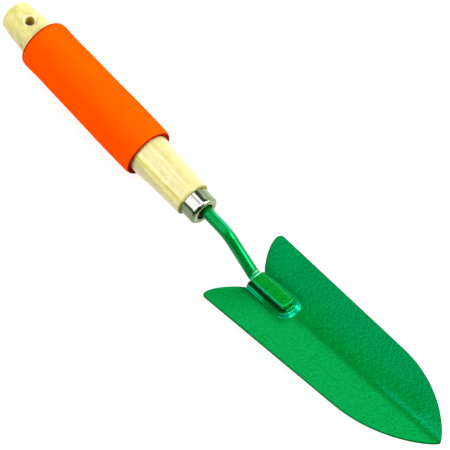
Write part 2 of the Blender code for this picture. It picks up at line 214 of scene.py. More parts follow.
def turned(profile, segs, closed, swell=None):
    """Points and faces of a profile of (x, radius) turned round X.

    Where an open profile starts or ends at radius 0 it closes in a pole.
    swell(x, angle, index) adds to the radius."""
    points, rows = [], []
    for i, (x, r) in enumerate(profile):
        if r <= 0:
            rows.append([len(points)])
            points.append((x, 0.0, 0.0))
            continue
        row = []
        for k in range(segs):
            a = 2 * math.pi * k / segs
            rr = r + (swell(x, a, i) if swell else 0.0)
            row.append(len(points))
            points.append((x, rr * math.cos(a), rr * math.sin(a)))
        rows.append(row)
    pairs = list(zip(rows, rows[1:]))
    if closed:
        pairs.append((rows[-1], rows[0]))
    faces = []
    for a, b in pairs:
        for k in range(segs):
            m = (k + 1) % segs
            if len(a) == 1 and len(b) == 1:
                continue
            if len(a) == 1:
                faces.append((a[0], b[m], b[k]))
            elif len(b) == 1:
                faces.append((a[k], a[m], b[0]))
            else:
                faces.append((a[k], a[m], b[m], b[k]))
    return points, faces


def smoothstep(t):
    t = min(1.0, max(0.0, t))
    return t * t * (3 - 2 * t)


def ride(ob, node):
    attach(ob, "root")
    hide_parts(node)


# -------------------------------------------------------------- materials
class Mat:
    """A node material, with short names for the nodes it is made of."""

    def __init__(self, name):
        self.m = bpy.data.materials.new(name)
        self.m.use_nodes = True
        self.tree = self.m.node_tree
        self.out = self.tree.nodes["Principled BSDF"]

    def node(self, kind, **props):
        n = self.tree.nodes.new(kind)
        for k, v in props.items():
            setattr(n, k, v)
        return n

    def link(self, a, b):
        self.tree.links.new(a, b)

    def put(self, socket, value):
        if isinstance(value, bpy.types.NodeSocket):
            self.link(value, socket)
        else:
            socket.default_value = value

    def set(self, **values):
        for k, v in values.items():
            self.put(self.out.inputs[k.replace("_", " ")], v)

    def where(self, grip=False):
        """Object coordinates turned into the tool's frame, in mm."""
        tc = self.node("ShaderNodeTexCoord")
        mp = self.node("ShaderNodeMapping", vector_type='TEXTURE')
        place = GRIP if grip else TOOL
        mp.inputs["Location"].default_value = place.to_translation()
        mp.inputs["Rotation"].default_value = place.to_euler()
        mp.inputs["Scale"].default_value = (MM, MM, MM)
        self.link(tc.outputs["Object"], mp.inputs["Vector"])
        return mp.outputs["Vector"]

    def world_mm(self):
        tc = self.node("ShaderNodeTexCoord")
        mp = self.node("ShaderNodeMapping", vector_type='POINT')
        mp.inputs["Scale"].default_value = (1000, 1000, 1000)
        self.link(tc.outputs["Object"], mp.inputs["Vector"])
        return mp.outputs["Vector"]

    def stretch(self, vec, scale, move=(0, 0, 0)):
        mp = self.node("ShaderNodeMapping", vector_type='POINT')
        mp.inputs["Scale"].default_value = scale
        mp.inputs["Location"].default_value = move
        self.link(vec, mp.inputs["Vector"])
        return mp.outputs["Vector"]

    def split(self, vec):
        s = self.node("ShaderNodeSeparateXYZ")
        self.link(vec, s.inputs[0])
        return s.outputs

    def math(self, op, a, b=None, c=None, clamp=False):
        n = self.node("ShaderNodeMath", operation=op, use_clamp=clamp)
        self.put(n.inputs[0], a)
        if b is not None:
            self.put(n.inputs[1], b)
        if c is not None:
            self.put(n.inputs[2], c)
        return n.outputs[0]

    def vec(self, op, a, b=None):
        n = self.node("ShaderNodeVectorMath", operation=op)
        self.put(n.inputs[0], a)
        if b is not None:
            self.put(n.inputs[1], b)
        return n.outputs["Value" if op in ('LENGTH', 'DISTANCE', 'DOT_PRODUCT') else "Vector"]

    def noise(self, vec, scale=1.0, detail=2.0, rough=0.5, distort=0.0):
        n = self.node("ShaderNodeTexNoise")
        self.link(vec, n.inputs["Vector"])
        n.inputs["Scale"].default_value = scale
        n.inputs["Detail"].default_value = detail
        n.inputs["Roughness"].default_value = rough
        n.inputs["Distortion"].default_value = distort
        return n.outputs["Fac"]

    def cells(self, vec, scale=1.0, feature='F1', smooth=None, random=1.0):
        n = self.node("ShaderNodeTexVoronoi", feature=feature)
        self.link(vec, n.inputs["Vector"])
        n.inputs["Scale"].default_value = scale
        n.inputs["Randomness"].default_value = random
        if smooth is not None:
            n.inputs["Smoothness"].default_value = smooth
        return n.outputs["Distance"]

    def span(self, value, lo, hi, a=0.0, b=1.0, soft=True):
        """value from lo..hi to a..b, smoothly, clamped."""
        n = self.node("ShaderNodeMapRange")
        n.interpolation_type = 'SMOOTHSTEP' if soft else 'LINEAR'
        n.clamp = True
        self.put(n.inputs["Value"], value)
        for k, v in (("From Min", lo), ("From Max", hi), ("To Min", a), ("To Max", b)):
            self.put(n.inputs[k], v)
        return n.outputs["Result"]

    def mix(self, fac, a, b, mode='MIX'):
        n = self.node("ShaderNodeMix", data_type='RGBA', blend_type=mode)
        ins = {s.identifier: s for s in n.inputs}
        self.put(ins["Factor_Float"], fac)
        self.put(ins["A_Color"], (*a, 1) if isinstance(a, tuple) else a)
        self.put(ins["B_Color"], (*b, 1) if isinstance(b, tuple) else b)
        return {s.identifier: s for s in n.outputs}["Result_Color"]

    def attribute(self, name):
        n = self.node("ShaderNodeAttribute", attribute_name=name)
        return n.outputs["Fac"]

    def bump(self, height, distance, strength=1.0, under=None):
        n = self.node("ShaderNodeBump")
        n.inputs["Strength"].default_value = strength
        n.inputs["Distance"].default_value = distance * MM
        self.link(height, n.inputs["Height"])
        if under is not None:
            self.link(under, n.inputs["Normal"])
        return n.outputs["Normal"]


def bare_wood():
    m = Mat("bare_wood")
    p = m.where(grip=True)
    x, y, z = m.split(p)
    # slow wander, so that the grain isn't ruled with a ruler
    wander = m.noise(m.stretch(p, (0.018, 0.06, 0.06)), 1.0, 2.0)
    bend = m.math('MULTIPLY_ADD', wander, 5.0, -2.5)
    # growth rings about a pith well outside the handle, leaning a little
    yy = m.math('ADD', m.math('MULTIPLY_ADD', x, 0.050, -27.0), m.math('ADD', y, bend))
    zz = m.math('ADD', m.math('MULTIPLY_ADD', x, -0.018, 21.0), m.math('ADD', z, bend))
    rho = m.math('SQRT', m.math('ADD', m.math('MULTIPLY', yy, yy),
                                m.math('MULTIPLY', zz, zz)))
    # the knot pulls the rings round itself
    knot_at = (-150.4, -12.3, 2.9)
    near = m.vec('DISTANCE', m.stretch(p, (0.6, 1.0, 1.0)),
                 (knot_at[0] * 0.6, knot_at[1], knot_at[2]))
    pull = m.math('MULTIPLY', m.span(near, 0.5, 4.2, 1.0, 0.0), 1.5)
    rho = m.math('ADD', rho, pull)
    ring = m.math('FRACT', m.math('DIVIDE', rho, 1.9))
    late = m.math('MULTIPLY', m.span(ring, 0.45, 0.92), m.span(ring, 0.94, 1.0, 1.0, 0.0))
    fibre = m.noise(m.stretch(p, (0.045, 2.6, 2.6)), 1.0, 4.0, 0.6)
    streak = m.noise(m.stretch(p, (0.012, 0.55, 0.55), (3, 7, 1)), 1.0, 3.0, 0.55)
    mottle = m.noise(m.stretch(p, (0.22, 0.42, 0.42), (9, 2, 5)), 1.0, 3.0, 0.6)
    fleck = m.cells(m.stretch(p, (0.20, 1.9, 1.9)), 1.0)
    light, dark = (0.492, 0.445, 0.135), (0.450, 0.403, 0.064)
    c = m.mix(m.span(streak, 0.30, 0.72), light, dark)
    c = m.mix(m.math('MULTIPLY', late, 0.30), c, (0.40, 0.330, 0.060))
    c = m.mix(m.span(fibre, 0.48, 0.76, 0.0, 0.42), c, (0.40, 0.325, 0.060))
    c = m.mix(m.span(mottle, 0.46, 0.70, 0.0, 0.60), c, (0.56, 0.500, 0.250))
    # painted light: the +y side, where the light falls, is paler and less yellow
    c = m.mix(m.span(y, -6.0, 8.0, 0.0, 0.35), c, (0.50, 0.455, 0.230))
    c = m.mix(m.span(fleck, 0.02, 0.16, 0.35, 0.0), c, (0.34, 0.270, 0.070))
    # painted light: the left flank is lightened in two bands, one towards the butt and one nearer the
    # ferrule. The butt end is made a little paler.
    far = m.span(x, -100.0, -140.0)
    flank = m.math('MULTIPLY', m.span(y, -3.0, -6.0), m.span(y, -12.5, -9.0))
    c = m.mix(m.math('MULTIPLY', flank, far), c, (1.26, 1.26, 1.18), 'MULTIPLY')
    flank = m.math('MULTIPLY', m.span(y, -6.4, -8.6), m.span(y, -12.0, -11.0))
    flank = m.math('MULTIPLY', flank, m.math('SUBTRACT', 1.0, far))
    c = m.mix(flank, c, (1.36, 1.40, 1.14), 'MULTIPLY')
    c = m.mix(m.span(x, -160.0, -168.0), c, (1.07, 1.08, 1.06), 'MULTIPLY')
    c = m.mix(m.span(x, -90.0, -60.0), c, (0.96, 0.945, 1.02), 'MULTIPLY')
    patch = m.noise(m.stretch(p, (0.13, 0.20, 0.20), (2, 6, 8)), 1.0, 2.0, 0.5)
    c = m.mix(m.math('MULTIPLY', m.span(patch, 0.50, 0.62), m.span(x, -150.0, -154.0, 0.0, 0.55)),
              c, (0.640, 0.555, 0.270))
    # the knot: a small brown eye with a paler ring
    c = m.mix(m.span(near, 0.6, 2.1, 0.75, 0.0), c, (0.36, 0.245, 0.040))
    c = m.mix(m.span(near, 0.2, 0.95, 0.90, 0.0), c, (0.23, 0.110, 0.012))
    # end grain of the butt is a shade deeper
    c = m.mix(m.span(x, BUTT_X + 0.9, BUTT_X + 0.25, 0.0, 0.30), c, (0.44, 0.385, 0.120))
    # the tenon inside the ferrule is painted near-black as shade, and the shoulder's edge is darkened
    # towards both sides as painted shade
    rim = m.span(x, SHOULDER_X - 1.1, SHOULDER_X - 0.2)
    q = m.math('MULTIPLY_ADD', y, 0.0942, m.math('MULTIPLY', z, 0.0335))
    shoulder_shade = m.math('ADD', m.span(q, -0.30, -0.75, 0.15, 0.85), m.span(q, 0.35, 0.80, 0.0, 0.45))
    c = m.mix(m.math('MULTIPLY', rim, shoulder_shade), c, (0.17, 0.158, 0.022))
    c = m.mix(m.span(x, SHOULDER_X + 0.2, SHOULDER_X + 0.6), c, (0.020, 0.018, 0.008))
    # hanging hole: pale cut ring, painted lighter on one side, brown wall, and a darker halo
    w = m.world_mm()
    wx, wy, wz = m.split(w)
    dx = m.math('SUBTRACT', wx, HOLE_WORLD[0])
    dy = m.math('SUBTRACT', wy, HOLE_WORLD[1])
    away = m.math('SQRT', m.math('ADD', m.math('MULTIPLY', dx, dx),
                                 m.math('MULTIPLY', dy, dy)))
    halo = m.math('MULTIPLY', m.span(away, 4.3, 4.6), m.span(away, 5.0, 5.7, 1.0, 0.0))
    # the halo is drawn only on two sides of the hole
    side = m.math('DIVIDE', m.math('ADD', m.math('MULTIPLY', dx, 0.75),
                                   m.math('MULTIPLY', dy, 0.66)), away)
    back = m.math('DIVIDE', m.math('ADD', m.math('MULTIPLY', dx, -0.75),
                                   m.math('MULTIPLY', dy, 0.66)), away)
    halo_sides = m.math('MAXIMUM', m.span(side, 0.70, 0.92, 0.0, 0.95),
                  m.span(back, 0.66, 0.90, 0.0, 0.55))
    c = m.mix(m.math('MULTIPLY', halo, halo_sides), c, (0.30, 0.235, 0.035))
    # painted light: the cut ring is lighter towards one side
    cut = m.mix(m.span(side, 0.0, 0.8), (0.62, 0.60, 0.40), (0.84, 0.81, 0.54))
    c = m.mix(m.span(away, 4.35, 4.15, 0.0, 0.80), c, cut)
    inside = m.span(away, 3.25, 3.05)
    c = m.mix(inside, c, (0.52, 0.400, 0.040))
    m.set(Base_Color=c, Roughness=m.span(fibre, 0.2, 0.8, 0.42, 0.58),
          Specular_IOR_Level=m.math('MULTIPLY_ADD', rim, -0.4, 0.5),
          Coat_Weight=m.math('MULTIPLY', m.math('SUBTRACT', 1.0, m.math('MAXIMUM', inside, rim)),
                             m.span(x, -160.0, -145.0, 0.25, 1.0)),
          Coat_Roughness=0.20, Coat_IOR=1.68)
    h = m.math('ADD', m.math('MULTIPLY', fibre, 0.6), m.math('MULTIPLY', late, 0.25))
    m.set(Normal=m.bump(h, 0.10, 0.55))
    return m.m


def orange_foam():
    m = Mat("orange_foam")
    p = m.where(grip=True)
    end = m.attribute("end")
    fine = m.noise(p, 1.1, 4.0, 0.70)
    pores = m.cells(p, 1.1)
    cloud = m.noise(m.stretch(p, (0.05, 0.12, 0.12)), 1.0, 2.0)
    c = m.mix(m.span(cloud, 0.3, 0.7), (0.955, 0.069, 0.0), (0.955, 0.077, 0.0))
    c = m.mix(m.span(fine, 0.46, 0.70, 0.0, 0.80), c, (0.90, 0.055, 0.0))
    c = m.mix(m.span(pores, 0.08, 0.26, 0.65, 0.0), c, (0.80, 0.045, 0.0))
    # painted shade: the ends and the bore are darkened to maroon
    c = m.mix(end, c, (0.200, 0.008, 0.002))
    m.set(Base_Color=c, Roughness=0.95, Specular_IOR_Level=0.0)
    h = m.math('ADD', m.math('MULTIPLY', fine, 0.6), m.span(pores, 0.0, 0.35))
    m.set(Normal=m.bump(h, 0.08, 0.45))
    return m.m


def nickel():
    m = Mat("nickel")
    p = m.where(grip=True)
    x, y, z = m.split(p)
    turn = m.noise(m.stretch(p, (9.0, 0.03, 0.03)), 1.0, 3.0, 0.6)
    haze = m.noise(p, 0.35, 3.0, 0.6)
    rub = m.noise(m.stretch(p, (0.5, 1.6, 1.6), (4, 4, 4)), 1.0, 4.0, 0.65)
    c = m.mix(m.span(haze, 0.35, 0.7), (0.262, 0.290, 0.225), (0.228, 0.258, 0.192))
    # painted light: the plating is darker and greener down the left side and lighter on the right,
    # away from the polished top
    q = m.math('MULTIPLY_ADD', y, 0.0942, m.math('MULTIPLY', z, 0.0335))
    c = m.mix(m.span(q, -0.52, -0.64), c, (0.64, 0.79, 0.54), 'MULTIPLY')
    c = m.mix(m.span(q, 0.50, 0.60), c, (1.10, 1.20, 0.90), 'MULTIPLY')
    # painted reflection: the polished top is tinted towards red and blue
    top = m.math('MULTIPLY', m.span(q, -0.46, -0.34), m.span(q, 0.40, 0.30))
    c = m.mix(top, c, (1.14, 1.0, 1.26), 'MULTIPLY')
    # painted reflection: the dark reflected bands down both sides of the polished top are tinted green
    left = m.math('MULTIPLY', m.span(q, -0.59, -0.54), m.span(q, -0.42, -0.49))
    right = m.math('MULTIPLY', m.span(q, 0.37, 0.43), m.span(q, 0.53, 0.48))
    c = m.mix(m.math('ADD', left, right), c, (0.78, 1.48, 0.95), 'MULTIPLY')
    # painted shade: the rear edge against the wood is darkened at both sides
    rear_shade = m.math('MULTIPLY', m.span(x, 1.1, 0.3), m.span(m.math('ABSOLUTE', q), 0.70, 0.86))
    c = m.mix(rear_shade, c, (0.58, 0.52, 0.30), 'MULTIPLY')
    # painted highlight on the front lip
    c = m.mix(m.attribute("lip_highlight"), c, (0.74, 0.75, 0.71))
    # painted light: near-black shade in the mouth round the rod, and the front face painted a dull
    # olive, less metallic, for how it is lit
    face_lit_paint = m.attribute("face_lit_paint")
    c = m.mix(m.attribute("mouth_shade"), c, (0.045, 0.080, 0.040))
    c = m.mix(face_lit_paint, c, (0.225, 0.270, 0.110))
    # painted shade: the bore behind the front edge is painted near-black and not metallic
    bore = m.attribute("bore")
    c = m.mix(bore, c, (0.012, 0.022, 0.010))
    metal = m.math('SUBTRACT', m.math('MULTIPLY_ADD', face_lit_paint, -0.65, 1.0), bore)
    m.set(Base_Color=c, Metallic=metal, Specular_IOR_Level=m.math('SUBTRACT', 0.5, bore))
    m.set(Roughness=m.span(rub, 0.35, 0.75, 0.085, 0.19))
    m.set(Normal=m.bump(turn, 0.012, 0.5))
    return m.m


GREEN_TINT = (0.0, 1.0, 0.52, 1.0)


def gloss_green():
    m = Mat("green_gloss_paint")
    p = m.where()
    peel = m.noise(p, 0.55, 2.0, 0.5)
    tone = m.noise(p, 0.16, 2.0, 0.5)
    painted_shade = m.attribute("painted_shade")
    c = m.mix(m.span(tone, 0.3, 0.7), (0.0, 0.158, 0.012), (0.0, 0.138, 0.008))
    # painted light: the foot's faces get their own yellower green, mottled by grit, for how light
    # falls on them
    grit = m.noise(p, 1.0, 3.0, 0.6)
    flat = m.mix(m.span(grit, 0.40, 0.62), (0.0, 0.240, 0.001), (0.0, 0.138, 0.007))
    c = m.mix(m.attribute("foot"), c, flat)
    # painted highlights: pale mint over the rolled rear edge of the foot, down its left wall and along
    # the neck's right side, and a paler mint glint at the heel
    c = m.mix(m.attribute("thin"), c, (0.02, 0.560, 0.290))
    c = m.mix(m.attribute("painted_highlight"), c, (0.42, 0.860, 0.720))
    # painted shade: near-black green down the foot's walls, before the heel and by the ferrule's mouth
    c = m.mix(painted_shade, c, (0.0, 0.020, 0.004))
    dull = m.attribute("dull")
    m.set(Base_Color=c, Metallic=0.20, Roughness=0.22, IOR=1.70,
          Specular_IOR_Level=m.math('SUBTRACT', 1.0, dull),
          Specular_Tint=GREEN_TINT, Coat_Weight=0.02, Coat_Roughness=0.08)
    n = m.bump(peel, 0.10, 0.35)
    m.set(Normal=n, Coat_Normal=n)
    return m.m


def hammered_green():
    m = Mat("green_hammered_paint")
    p = m.where()
    x, y, z = m.split(p)
    warp = m.noise(p, 0.35, 2.0, 0.5)
    push = m.node("ShaderNodeVectorMath", operation='MULTIPLY_ADD')
    m.link(p, push.inputs[0])
    push.inputs[1].default_value = (1, 1, 1)
    m.put(push.inputs[2], m.math('MULTIPLY', warp, 1.2))
    q = push.outputs["Vector"]
    cell = m.cells(m.stretch(q, (1, 1, 0.5)), 0.62, 'SMOOTH_F1', 0.35)
    small = m.noise(q, 0.95, 2.5, 0.55)
    tone = m.noise(p, 0.10, 2.0, 0.5)
    valley_shade = m.attribute("valley_shade")
    c = m.mix(m.span(tone, 0.3, 0.7), (0.0, 0.262, 0.050), (0.0, 0.244, 0.044))
    c = m.mix(m.span(cell, 0.25, 0.75, 0.0, 0.50), c, (0.0, 0.172, 0.018))
    c = m.mix(m.span(small, 0.47, 0.70, 0.0, 0.55), c, (0.0, 0.274, 0.078))
    # painted light and shade: the +Y wing bluer outwards, the rear lighter, the far +Y side and the -Y
    # wing a little darker
    c = m.mix(m.span(y, 1.0, 26.0, 0.0, 0.5), c, (0.0, 0.215, 0.075))
    c = m.mix(m.span(x, NECK[0] + 16.0, NECK[0] + 4.0), c, (1.0, 1.09, 1.06), 'MULTIPLY')
    far = m.math('MULTIPLY', m.span(x, NECK[0] + 85.0, NECK[0] + 125.0), m.span(y, 3.0, 9.0))
    c = m.mix(far, c, (1.0, 0.93, 0.90), 'MULTIPLY')
    c = m.mix(m.span(y, 3.0, -3.0), c, (1.0, 0.955, 0.99), 'MULTIPLY')
    # painted shade along the crease
    c = m.mix(m.math('MULTIPLY', valley_shade, 0.56), c, (0.0, 0.135, 0.006))
    # painted highlight: bright teal on the seat's nose, its left shoulder and along the crease near
    # the tip
    nose = m.attribute("nose")
    c = m.mix(m.math('MULTIPLY', nose, 0.8), c, (0.004, 0.390, 0.215))
    # painted shade round the seat and on its flanks
    c = m.mix(m.attribute("shade"), c, (0.0, 0.042, 0.002))
    m.set(Base_Color=c, Metallic=0.54, Specular_IOR_Level=0.10,
          Specular_Tint=(0.0, 1.0, 0.44, 1.0))
    rough = m.span(small, 0.3, 0.7, 0.40, 0.29)
    m.set(Roughness=m.math('MULTIPLY_ADD', nose, -0.14, rough))
    h = m.math('SUBTRACT', m.math('MULTIPLY', small, 0.7), m.math('MULTIPLY', cell, 0.8))
    h = m.math('MULTIPLY', h, m.math('MULTIPLY_ADD', nose, -0.75, 1.0))
    m.set(Normal=m.bump(h, 0.30, 0.52))
    return m.m


wood = bare_wood()
foam = orange_foam()
plate = nickel()
gloss = gloss_green()
hammer = hammered_green()


# ----------------------------------------------------------------- handle
def barrel_r(x):
    return monotone(BARREL, [x])[0]


def cutter(name, profile, segs, matrix):
    pts, faces = turned(profile, segs, False)
    ob = piece(name, pts, faces, wood, matrix)
    return ob


def cut(ob, tools):
    for t in tools:
        mod = ob.modifiers.new(t.name, 'BOOLEAN')
        mod.operation, mod.solver, mod.object = 'DIFFERENCE', 'EXACT', t
    deps = bpy.context.evaluated_depsgraph_get()
    me = bpy.data.meshes.new_from_object(ob.evaluated_get(deps))
    ob.modifiers.clear()
    old = ob.data
    ob.data = me
    bpy.data.meshes.remove(old)
    for t in tools:
        data = t.data
        bpy.data.objects.remove(t, do_unlink=True)
        bpy.data.meshes.remove(data)


def make_handle():
    xs = list(np.linspace(BARREL[0][0], BARREL[-1][0], 150))
    barrel = list(zip(xs, monotone(BARREL, xs)))
    prof = [(TENON_END, 0.0), (TENON_END, 4.6), (TENON_END, TENON_R - 0.5),
            (TENON_END - 0.5, TENON_R), (4.0, TENON_R), (SHOULDER_X, TENON_R),
            (SHOULDER_X, 9.9), (SHOULDER_X, SHOULDER_R - 0.25),
            (SHOULDER_X - 0.08, SHOULDER_R + 0.05), (SHOULDER_X - 0.5, 11.68),
            (SHOULDER_X - 0.85, 11.87)]
    prof += list(reversed(barrel))
    r0, c = BARREL[0][1], BUTT_RIM
    for i in range(1, 15):
        a = math.radians(90 + 90 * i / 14)
        prof.append((BUTT_X + c + c * math.cos(a), r0 - c - 0.15 + c * math.sin(a)))
    prof += [(BUTT_X - 0.05, 6.4), (BUTT_X - 0.1, 4.6), (BUTT_X - 0.13, 2.6),
             (BUTT_X - 0.15, 1.0), (BUTT_X - 0.15, 0.0)]

    def hand_turned(x, a, i):
        # facets left by sanding, far too slight to feel
        return 0.02 * noise.noise(Vector((x * 0.09, 2.2 * math.cos(a), 2.2 * math.sin(a)))) \
            if -170 < x < -3 else 0.0

    pts, faces = turned(prof, 144, False, hand_turned)
    ob = piece("handle_wood", pts, faces, wood, GRIP)
    reach = barrel_r(HOLE_X)
    soft = 0.16
    zs = list(np.linspace(0.0, reach - HOLE_SINK - 0.8, 4))
    zs += list(np.linspace(reach - HOLE_SINK - 0.6, reach - HOLE_SINK + 0.6, 9))
    zs += [reach - HOLE_SINK + 1.1, reach + 3.0]
    half = [(z, HOLE_R + HOLE_FLARE * soft * math.log1p(math.exp(
        min(60.0, (z - reach + HOLE_SINK) / soft)))) for z in zs]
    drill = [(-z, r) for z, r in reversed(half[1:])] + half
    drill = [(drill[0][0], 0.0)] + drill + [(drill[-1][0], 0.0)]
    stand = GRIP @ Matrix.Translation((HOLE_X * MM, 0, 0)) @ Matrix.Rotation(
        math.radians(90 + TILT_DEG), 4, 'Y')
    hole = cutter("hole_tool", drill, 80, stand)
    bore = cutter("bore_tool", [(TANG_BORE_END, 0.0), (TANG_BORE_END, TANG_BORE_R),
                                (TENON_END + 6, TANG_BORE_R), (TENON_END + 6, 0.0)],
                  64, TOOL)
    cut(ob, [hole, bore])
    ob.data.shade_smooth()
    ob.data.set_sharp_from_angle(angle=math.radians(36))
    ride(ob, "handle")
    return ob


handle = make_handle()


# ------------------------------------------------------------ foam sleeve
def make_sleeve():
    outer = flowing(SLEEVE, 0.30)
    thin = []
    for p in outer:
        # fine rows at the rolled ends, wider ones along the run
        far = min(abs(p[0] - SLEEVE[0][0]), abs(p[0] - SLEEVE[-1][0]))
        step = 0.28 if far < 5 else 1.0
        if not thin or math.dist(p, thin[-1]) >= step:
            thin.append(p)
    n_out = len(thin)
    bore_x = np.linspace(-42.9, -145.0, 46)
    bore = [(x, r + GAP) for x, r in zip(bore_x, [barrel_r(v) for v in bore_x])]
    prof = thin + bore

    def give(x, a, i):
        if i >= n_out:
            return 0.0
        v = Vector((x * 0.045, 1.1 * math.cos(a), 1.1 * math.sin(a)))
        w = Vector((x * 0.33, 5.2 * math.cos(a), 5.2 * math.sin(a)))
        # pressed flat where it lies on the ground
        rest = 0.08 * max(0.0, -math.sin(a)) ** 6
        return 0.045 * noise.noise(v) + 0.022 * noise.noise(w) - rest

    pts, faces = turned(prof, 168, True, give)
    ob = piece("foam_grip", pts, faces, foam, GRIP, 55)
    # painted shade: the foam's two ends and its bore are darkened to maroon
    end = []
    for i, (x, r) in enumerate(prof):
        if i >= n_out:
            v = 0.9
        else:
            front = smoothstep((x + 43.45) / 0.95)
            rear_shade = 0.7 * smoothstep((-143.0 - x) / 1.2)
            v = max(front, rear_shade)
        end += [v] * 168
    mark(ob, "end", end)
    ride(ob, "grip_sleeve")
    return ob


sleeve = make_sleeve()


# ---------------------------------------------------------------- ferrule
def make_ferrule():
    outer = flowing(FERRULE, 0.16)
    n_out = len(outer)
    inner = [(9.30, 5.52), (TENON_END + GAP, FERRULE_HOLE_R + 0.05),
             (TENON_END + GAP, 7.0), (TENON_END + GAP, TENON_R + GAP - 0.1),
             (TENON_END + GAP - 0.1, TENON_R + GAP), (4.0, TENON_R + GAP),
             (FERRULE[0][0] + 0.1, TENON_R + GAP), (FERRULE[0][0], TENON_R + GAP + 0.12),
             (FERRULE[0][0], 10.0)]
    prof = outer + inner
    pts, faces = turned(prof, 176, True)
    ob = piece("ferrule_shell", pts, faces, plate, GRIP, 50)
    # painted light marks: shade in the mouth and bore, a highlight on the lip, a dull lit olive on the
    # front face
    mouth_shade, lip_highlight, face_lit_paint, bore = [], [], [], []
    for i, (x, r) in enumerate(prof):
        v = smoothstep((x - 8.1) / 0.8) if i < n_out else 1.0
        for k in range(176):
            a = 2 * math.pi * k / 176
            q = 0.93 * math.cos(a) + 0.37 * math.sin(a)
            on_lip = v * smoothstep((r - 9.25) / 0.3) if i < n_out else 0.0
            lip_highlight.append(0.9 * on_lip * smoothstep((q - 0.0) / 0.10)
                       * (1.0 - smoothstep((q - 0.42) / 0.14)))
            if i < n_out:
                left = v * (1.0 - smoothstep((q + 0.03) / 0.14))
                left *= 1.0 - smoothstep((-q - 0.60) / 0.12) * smoothstep((r - 9.0) / 0.6)
                left *= 1.0 - 0.85 * smoothstep((-q - 0.44) / 0.10) * smoothstep((9.65 - r) / 0.35)
                right = smoothstep((9.45 - r) / 0.25) * smoothstep((q + 0.10) / 0.12)
                right *= 1.0 - smoothstep((q - 0.54) / 0.12)
                flat = smoothstep((8.95 - r) / 0.3) * smoothstep((r - 5.8) / 0.3)
                mouth_shade.append(max(left, right) * (1.0 - flat) if x > 8 else 0.0)
                face_lit_paint.append(flat if x > 8 else 0.0)
                bore.append(smoothstep((6.10 - r) / 0.3) if x > 8 else 0.0)
            else:
                mouth_shade.append(v)
                face_lit_paint.append(0.0)
                bore.append(1.0 if r < 6.5 else 0.0)
    mark(ob, "mouth_shade", mouth_shade)
    mark(ob, "lip_highlight", lip_highlight)
    mark(ob, "face_lit_paint", face_lit_paint)
    mark(ob, "bore", bore)
    ride(ob, "ferrule")
    return ob


ferrule = make_ferrule()


# ------------------------------------------------------------------ blade
def half_width(x):
    r = min(1.0, max(0.0, (x - SIDES_END) / (TIP_X - SIDES_END)))
    return (HALF_W - TAPER * x) * max(0.0, 1.0 - r ** TIP_P) ** TIP_Q


def rear_edge(y):
    y = abs(y)
    if y <= NECK_HALF:
        return NECK_X + (NOTCH_X - NECK_X) * smoothstep((y - 4.6) / (NECK_HALF - 4.6))
    x = -EAR_X + EAR_CURVE * max(0.0, EAR_Y - y) ** EAR_POWER
    x = NOTCH_X + (x - NOTCH_X) * (1.0 - math.exp(-(y - NECK_HALF) / 0.5))
    edge = HALF_W + TAPER * EAR_X
    over = y - (edge - EAR_ROUND)
    if over > 0:
        over = min(over, EAR_ROUND)
        x += EAR_ROUND - math.sqrt(max(0.0, EAR_ROUND ** 2 - over ** 2))
    return x


def seat_out(x, y):
    """How far outside the seat's outline a point lies; less than 0 inside it."""
    side = SEAT_HALF[0] + (SEAT_HALF[1] - SEAT_HALF[0]) * smoothstep(x / 26.0)
    qx = abs(y) - (side - SEAT_CORNER)
    qy = x - (SEAT_END - SEAT_CORNER)
    return math.hypot(max(qx, 0.0), max(qy, 0.0)) + min(max(qx, qy), 0.0) - SEAT_CORNER


def tones(x, y):
    """Painted light and shade of the upper face: valley shade, nose highlight and shade, 0 to 1."""
    d = seat_out(x, y)
    off = smoothstep(d / 2.5)
    # painted shade along the crease; on the +Y side it is lifted where the painted glint runs towards
    # the tip
    if y < 0:
        valley_shade = math.exp(-(y / 2.2) ** 2)
    else:
        valley_shade = math.exp(-(y / 8.0) ** 1.4)
        painted_glint = smoothstep((x - 100.0) / 25.0) * math.exp(-((y - 2.6) / 1.6) ** 2)
        valley_shade *= 1.0 - 0.95 * painted_glint
    # painted highlight on the nose crescent where the seat's flank ends
    on_flank = smoothstep((d + SEAT_NOSE + 0.4) / 0.5) * smoothstep(-d / 0.5)
    front = smoothstep((x - (SEAT_END - 6.0)) / 4.0)
    nose = on_flank * front
    # on the left: painted highlight on the shoulder near the neck, and a painted shadow of the foot
    # across the seat's top
    if y < 0:
        nose = max(nose, 1.0 * on_flank * smoothstep((16.0 - x) / 9.0))
        shade = 0.92 * smoothstep((-d - SEAT_FLANK + 0.2) / 0.5) * smoothstep((32.0 - x) / 1.5)
    else:
        # on the right: a faint painted highlight on the seat's top, and painted shade on the flank
        # near the neck
        nose = max(nose, 0.12 * smoothstep((-d - 1.0) / 0.6) * smoothstep((31.0 - x) / 2.0))
        shade = 0.42 * on_flank * smoothstep((8.0 - x) / 5.0)
    # painted highlight along the crease towards the point, spreading at the very tip
    if y > 0:
        line = 0.34 * smoothstep((x - 95.0) / 30.0) * math.exp(-((y - 2.7) / 1.3) ** 2)
        tip = 0.24 * smoothstep((x - 136.0) / 9.0) * math.exp(-((y - 5.5) / 3.0) ** 2)
        nose = max(nose, line, tip)
    # painted shade along the middle of the left flank
    if y < 0:
        shade = max(shade, 0.40 * on_flank * smoothstep((x - 12.0) / 8.0) * (1.0 - front))
    # painted shade on the wings just round the seat, reaching furthest near the neck
    if d > -0.6:
        run = 1.7 + (4.0 if y < 0 else 2.0) * smoothstep((22.0 - x) / 22.0)
        soft = (0.46 if y < 0 else 0.48) * math.exp(-max(d, 0.0) / run) * smoothstep((d + 0.6) / 0.7)
        soft *= 1.0 - 0.75 * smoothstep((x - SEAT_END + 4.0) / 4.0)
        shade = max(shade, soft)
    return valley_shade * off, nose, shade


